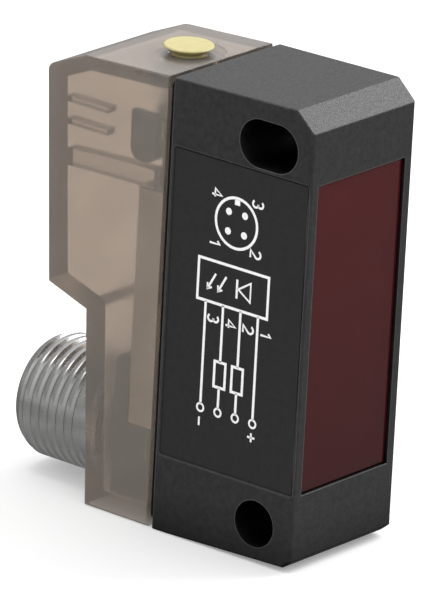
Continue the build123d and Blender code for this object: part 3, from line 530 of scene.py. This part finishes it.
GLYPHS = {
    "1": [[(0.15, 0.75), (0.4, 1.0), (0.4, 0.0)]],
    "2": [arc(0.3, 0.7, 0.3, 160, -35, 12) + [(0.0, 0.0), (0.62, 0.0)]],
    "3": [arc(0.28, 0.74, 0.26, 150, -90, 12), arc(0.28, 0.26, 0.28, 90, -150, 12)],
    "4": [[(0.48, 0.0), (0.48, 1.0), (0.0, 0.3), (0.66, 0.3)]],
    "+": [[(0.0, 0.45), (0.6, 0.45)], [(0.3, 0.15), (0.3, 0.75)]],
    "-": [[(0.0, 0.45), (0.6, 0.45)]],
}


def glyph_strokes(mark, z, depth, size):
    """Strokes of a small mark centred at a place, read down the side with its top to the front."""
    placed = []
    for stroke in GLYPHS[mark]:
        placed.append([(z - (u - 0.3) * size, depth - (v - 0.5) * size) for u, v in stroke])
    return placed


def ribbon(points, width, closed=False):
    """Left and right edge points of a line of a given width, with mitred corners."""
    count = len(points)
    lefts, rights = [], []
    for i, here in enumerate(points):
        before = points[i - 1] if (i or closed) else here
        after = points[(i + 1) % count] if (i + 1 < count or closed) else here
        first = Vector(here) - Vector(before)
        second = Vector(after) - Vector(here)
        first = (first if first.length else second).normalized()
        second = (second if second.length else first).normalized()
        along = (first + second).normalized()
        across = Vector((-along.y, along.x))
        reach = width / 2 / max(SHARPEST_MITRE, abs(along.dot(first)))
        lefts.append(Vector(here) + across * reach)
        rights.append(Vector(here) - across * reach)
    return lefts, rights


def build_print():
    """White ink on the side panel: the plug's pin plan and a plain wiring diagram."""
    low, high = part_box("side_panel")
    rear = high.y / MM
    origin = rear - PANEL_REAR
    vertices, faces = [], []

    def on_side(point, raised):
        """The corner of a line, on its outer face or sunk into the panel."""
        z, depth = point
        y = origin + depth
        outward = INK_THICKNESS if raised else -INK_THICKNESS
        x = low.x / MM + (rear - y) * SIDE_TAPER - outward
        return (x * MM, y * MM, z * MM)

    def draw(points, width=LINE_WIDTH, closed=False):
        """A line of ink, four corners at each of its points."""
        lefts, rights = ribbon(points, width, closed)
        start = len(vertices)
        count = len(points)
        for left, right in zip(lefts, rights):
            vertices.extend([on_side(left, True), on_side(right, True)])
            vertices.extend([on_side(left, False), on_side(right, False)])
        for i in range(count if closed else count - 1):
            a = start + 4 * i
            b = start + 4 * ((i + 1) % count)
            faces.append((a, b, b + 1, a + 1))
            faces.append((a + 2, a + 3, b + 3, b + 2))
            faces.append((a, a + 2, b + 2, b))
            faces.append((a + 1, b + 1, b + 3, a + 3))
        if not closed:
            end = start + 4 * (count - 1)
            faces.append((start, start + 1, start + 3, start + 2))
            faces.append((end, end + 2, end + 3, end + 1))

    def write(mark, z, depth, size=NUMBER_SIZE):
        """One numeral or sign."""
        for stroke in glyph_strokes(mark, z, depth, size):
            draw(stroke, MARK_LINE)

    z, depth = FACE_PLAN
    draw(arc(z, depth, FACE_RADIUS, 0, 352.5, 47), closed=True)
    draw([(z + FACE_RADIUS - KEY_OUTER, depth), (z + FACE_RADIUS - KEY_INNER, depth)], KEY_WIDTH)
    for number, pin_angle in PIN_ANGLES:
        u = math.cos(math.radians(pin_angle))
        v = math.sin(math.radians(pin_angle))
        disc = arc(z + PIN_CIRCLE * u, depth + PIN_CIRCLE * v, PIN_RADIUS / 2, 0, 330, 11)
        draw(disc, PIN_RADIUS, True)
        far = FACE_RADIUS + NUMBER_REACH
        write(number, z + far * u, depth + far * v)

    top_side = [(BOX_TOP, BOX_FRONT), (BOX_TOP, BOX_REAR)]
    draw(top_side + [(BOX_BOTTOM, BOX_REAR), (BOX_BOTTOM, BOX_FRONT)], closed=True)
    middle = (BOX_TOP + BOX_BOTTOM) / 2
    base = [(middle - DIODE_HALF, DIODE_BASE), (middle + DIODE_HALF, DIODE_BASE)]
    draw(base + [(middle, DIODE_TIP)], DIODE_LINE, True)
    draw([(middle - DIODE_HALF, DIODE_BAR), (middle + DIODE_HALF, DIODE_BAR)], DIODE_LINE)
    for arrow_start in ARROW_STARTS:
        tip_z, tip_depth = middle - ARROW_HALF, arrow_start + ARROW_SLANT
        draw([(middle + ARROW_HALF, arrow_start), (tip_z, tip_depth)], ARROW_LINE)
        barb = (tip_z + ARROW_BARB, tip_depth)
        side_barb = (tip_z + ARROW_SIDE_BARB[0], tip_depth - ARROW_SIDE_BARB[1])
        draw([barb, (tip_z, tip_depth), side_barb], ARROW_HEAD_LINE)

    for depth, number, sign in LEADS:
        if sign:
            draw([(BOX_BOTTOM, depth), (LEAD_END, depth)])
        else:
            draw([(BOX_BOTTOM, depth), (LOAD_TOP, depth)])
            draw([(LOAD_BOTTOM, depth), (LEAD_END, depth)])
        write(number, BOX_BOTTOM - LEAD_NUMBER_DROP, depth - LEAD_NUMBER_SHIFT)
        draw(arc(LEAD_END - LEAD_RING, depth, LEAD_RING, 0, 330, 11), RING_LINE, True)
        if sign:
            write(sign, LEAD_END - SIGN_DROP, depth, SIGN_SIZE)
        else:
            sides = [(LOAD_TOP, depth - LOAD_HALF), (LOAD_TOP, depth + LOAD_HALF)]
            sides += [(LOAD_BOTTOM, depth + LOAD_HALF), (LOAD_BOTTOM, depth - LOAD_HALF)]
            draw(sides, closed=True)

    data = bpy.data.meshes.new("side_print")
    data.from_pydata(vertices, [], faces)
    place_piece(data, INK)


build_plug()
build_dome()
build_print()

# ---- floor, light and camera -------------------------------------------------------------------

FLOOR_SIZE = 3.0
FLOOR_GREY = 0.85
FLOOR_GLOW = 0.22
FRONT_RIGHT = math.radians(38)
TOP_EDGE = Vector((-0.0073, -0.009, 0.043))
BODY_MIDDLE = Vector((0, -0.0003, 0.021))


def build_floor():
    """A plain pale floor, kept out of reflections so that the faces stay dark."""
    mesh = bpy.data.meshes.new("floor")
    half = FLOOR_SIZE / 2
    corners = [(-half, -half, 0), (half, -half, 0), (half, half, 0), (-half, half, 0)]
    mesh.from_pydata(corners, [], [(0, 1, 2, 3)])
    floor = bpy.data.objects.new("floor", mesh)
    bpy.context.scene.collection.objects.link(floor)
    floor.visible_glossy = False
    material, tree, output = new_material("floor_white")
    shader = add(tree, "ShaderNodeBsdfPrincipled", Roughness=0.9, Specular_IOR_Level=0.0)
    shader.inputs["Base Color"].default_value = (FLOOR_GREY, FLOOR_GREY, FLOOR_GREY, 1)
    shader.inputs["Emission Color"].default_value = (1, 1, 1, 1)
    shader.inputs["Emission Strength"].default_value = FLOOR_GLOW
    tree.links.new(shader.outputs["BSDF"], output.inputs["Surface"])
    mesh.materials.append(material)


def area_light(name, size, radiance, direction, distance, target=BODY_MIDDLE):
    """A soft square light in a direction from its target, aimed at it."""
    data = bpy.data.lights.new(name, "AREA")
    data.shape = "SQUARE"
    data.size = size
    data.energy = radiance * math.pi * size * size
    lamp = bpy.data.objects.new(name, data)
    direction = Vector(direction).normalized()
    lamp.location = target + direction * distance
    lamp.visible_camera = False
    lamp.rotation_euler = (-direction).to_track_quat("-Z", "Y").to_euler()
    bpy.context.scene.collection.objects.link(lamp)


# The room's brightness by the height of a direction, from -1 straight down to 1 straight up: as it
# lights the sensor, then as glossy faces reflect it to the left and to the right of the camera.
ROOM = ((-1.0, 0.35), (-0.12, 0.35), (0.1, 1.0), (1.0, 1.0))
LEFT_REFLECTIONS = (
    (-1.0, 0.3), (-0.8, 0.3), (-0.5, 0.42), (-0.36, 0.25), (-0.12, 0.3), (0.0, 0.6), (0.09, 0.6),
    (0.14, 0.18), (0.22, 0.18), (0.28, 0.42), (0.7, 0.36), (1.0, 0.5),
)
RIGHT_REFLECTIONS = ((-1.0, 0.35), (-0.1, 0.35), (0.2, 1.0), (1.0, 1.0))


def stepped(tree, factor, stops):
    """A grey level that runs through (height, level) stops as the height goes from -1 to 1."""
    node = add(tree, "ShaderNodeValToRGB")
    points = node.color_ramp.elements
    while len(points) < len(stops):
        points.new(0.5)
    for point, (height, level) in zip(points, stops):
        point.position = (height + 1) / 2
        point.color = (level, level, level, 1)
    tree.links.new(factor, node.inputs["Fac"])
    return node.outputs["Color"]


def mixed(tree, factor, first, second):
    """The first colour at 0, the second at 1."""
    node = add(tree, "ShaderNodeMix")
    node.data_type = "RGBA"
    tree.links.new(factor, node.inputs["Factor"])
    tree.links.new(first, node.inputs["A"])
    tree.links.new(second, node.inputs["B"])
    return node.outputs["Result"]


def build_light():
    """A soft room that looks darker in reflections, a soft box, and a small light near the top edge."""
    world = bpy.data.worlds.new("studio")
    bpy.context.scene.world = world
    world.use_nodes = True
    tree = world.node_tree
    background = tree.nodes["Background"]
    background.inputs["Strength"].default_value = 1.0
    coordinates = add(tree, "ShaderNodeTexCoord")
    turned = add(tree, "ShaderNodeMapping", Rotation=(0, 0, FRONT_RIGHT))
    split = add(tree, "ShaderNodeSeparateXYZ")
    tree.links.new(coordinates.outputs["Generated"], turned.inputs["Vector"])
    tree.links.new(turned.outputs["Vector"], split.inputs["Vector"])
    height = span(tree, split.outputs["Z"], 0.0, 1.0, start=-1.0, end=1.0)
    rightness = span(tree, split.outputs["X"], 0.0, 1.0, start=-0.5, end=0.2)
    left = stepped(tree, height, LEFT_REFLECTIONS)
    right = stepped(tree, height, RIGHT_REFLECTIONS)
    seen = mixed(tree, rightness, left, right)
    path = add(tree, "ShaderNodeLightPath")
    colour = mixed(tree, path.outputs["Is Glossy Ray"], stepped(tree, height, ROOM), seen)
    tree.links.new(colour, background.inputs["Color"])
    from_right = (0.737, -0.286, 0.613)
    from_behind = (-0.33, 0.59, 0.737)
    area_light("key", size=0.3, radiance=5.0, direction=from_right, distance=0.45)
    area_light("rim", size=0.02, radiance=8.0, direction=from_behind, distance=0.06, target=TOP_EDGE)


def turn(angle, axis):
    """A rotation in degrees about an axis."""
    return Matrix.Rotation(math.radians(angle), 4, axis)


def build_camera():
    """The camera: a long lens from the front left, a little above."""
    azimuth, elevation, roll = -51.33, 19.31, -3.08
    distance, focal_heights = 0.79219, 8761.89 / 595
    side, lift = -1.58 * MM, 0.75 * MM
    data = bpy.data.cameras.new("camera")
    data.sensor_width = 36.0
    data.lens = focal_heights * data.sensor_width
    data.clip_start, data.clip_end = 0.05, 20
    camera = bpy.data.objects.new("camera", data)
    turned = turn(azimuth, "Z") @ turn(90 - elevation, "X") @ turn(-roll, "Z")
    offset = Matrix.Translation((-side, -lift, distance))
    camera.matrix_world = Matrix.Translation(BODY_MIDDLE) @ turned @ offset
    bpy.context.scene.collection.objects.link(camera)
    bpy.context.scene.camera = camera


build_floor()
build_light()
build_camera()
bpy.context.scene.view_settings.view_transform = "Standard"
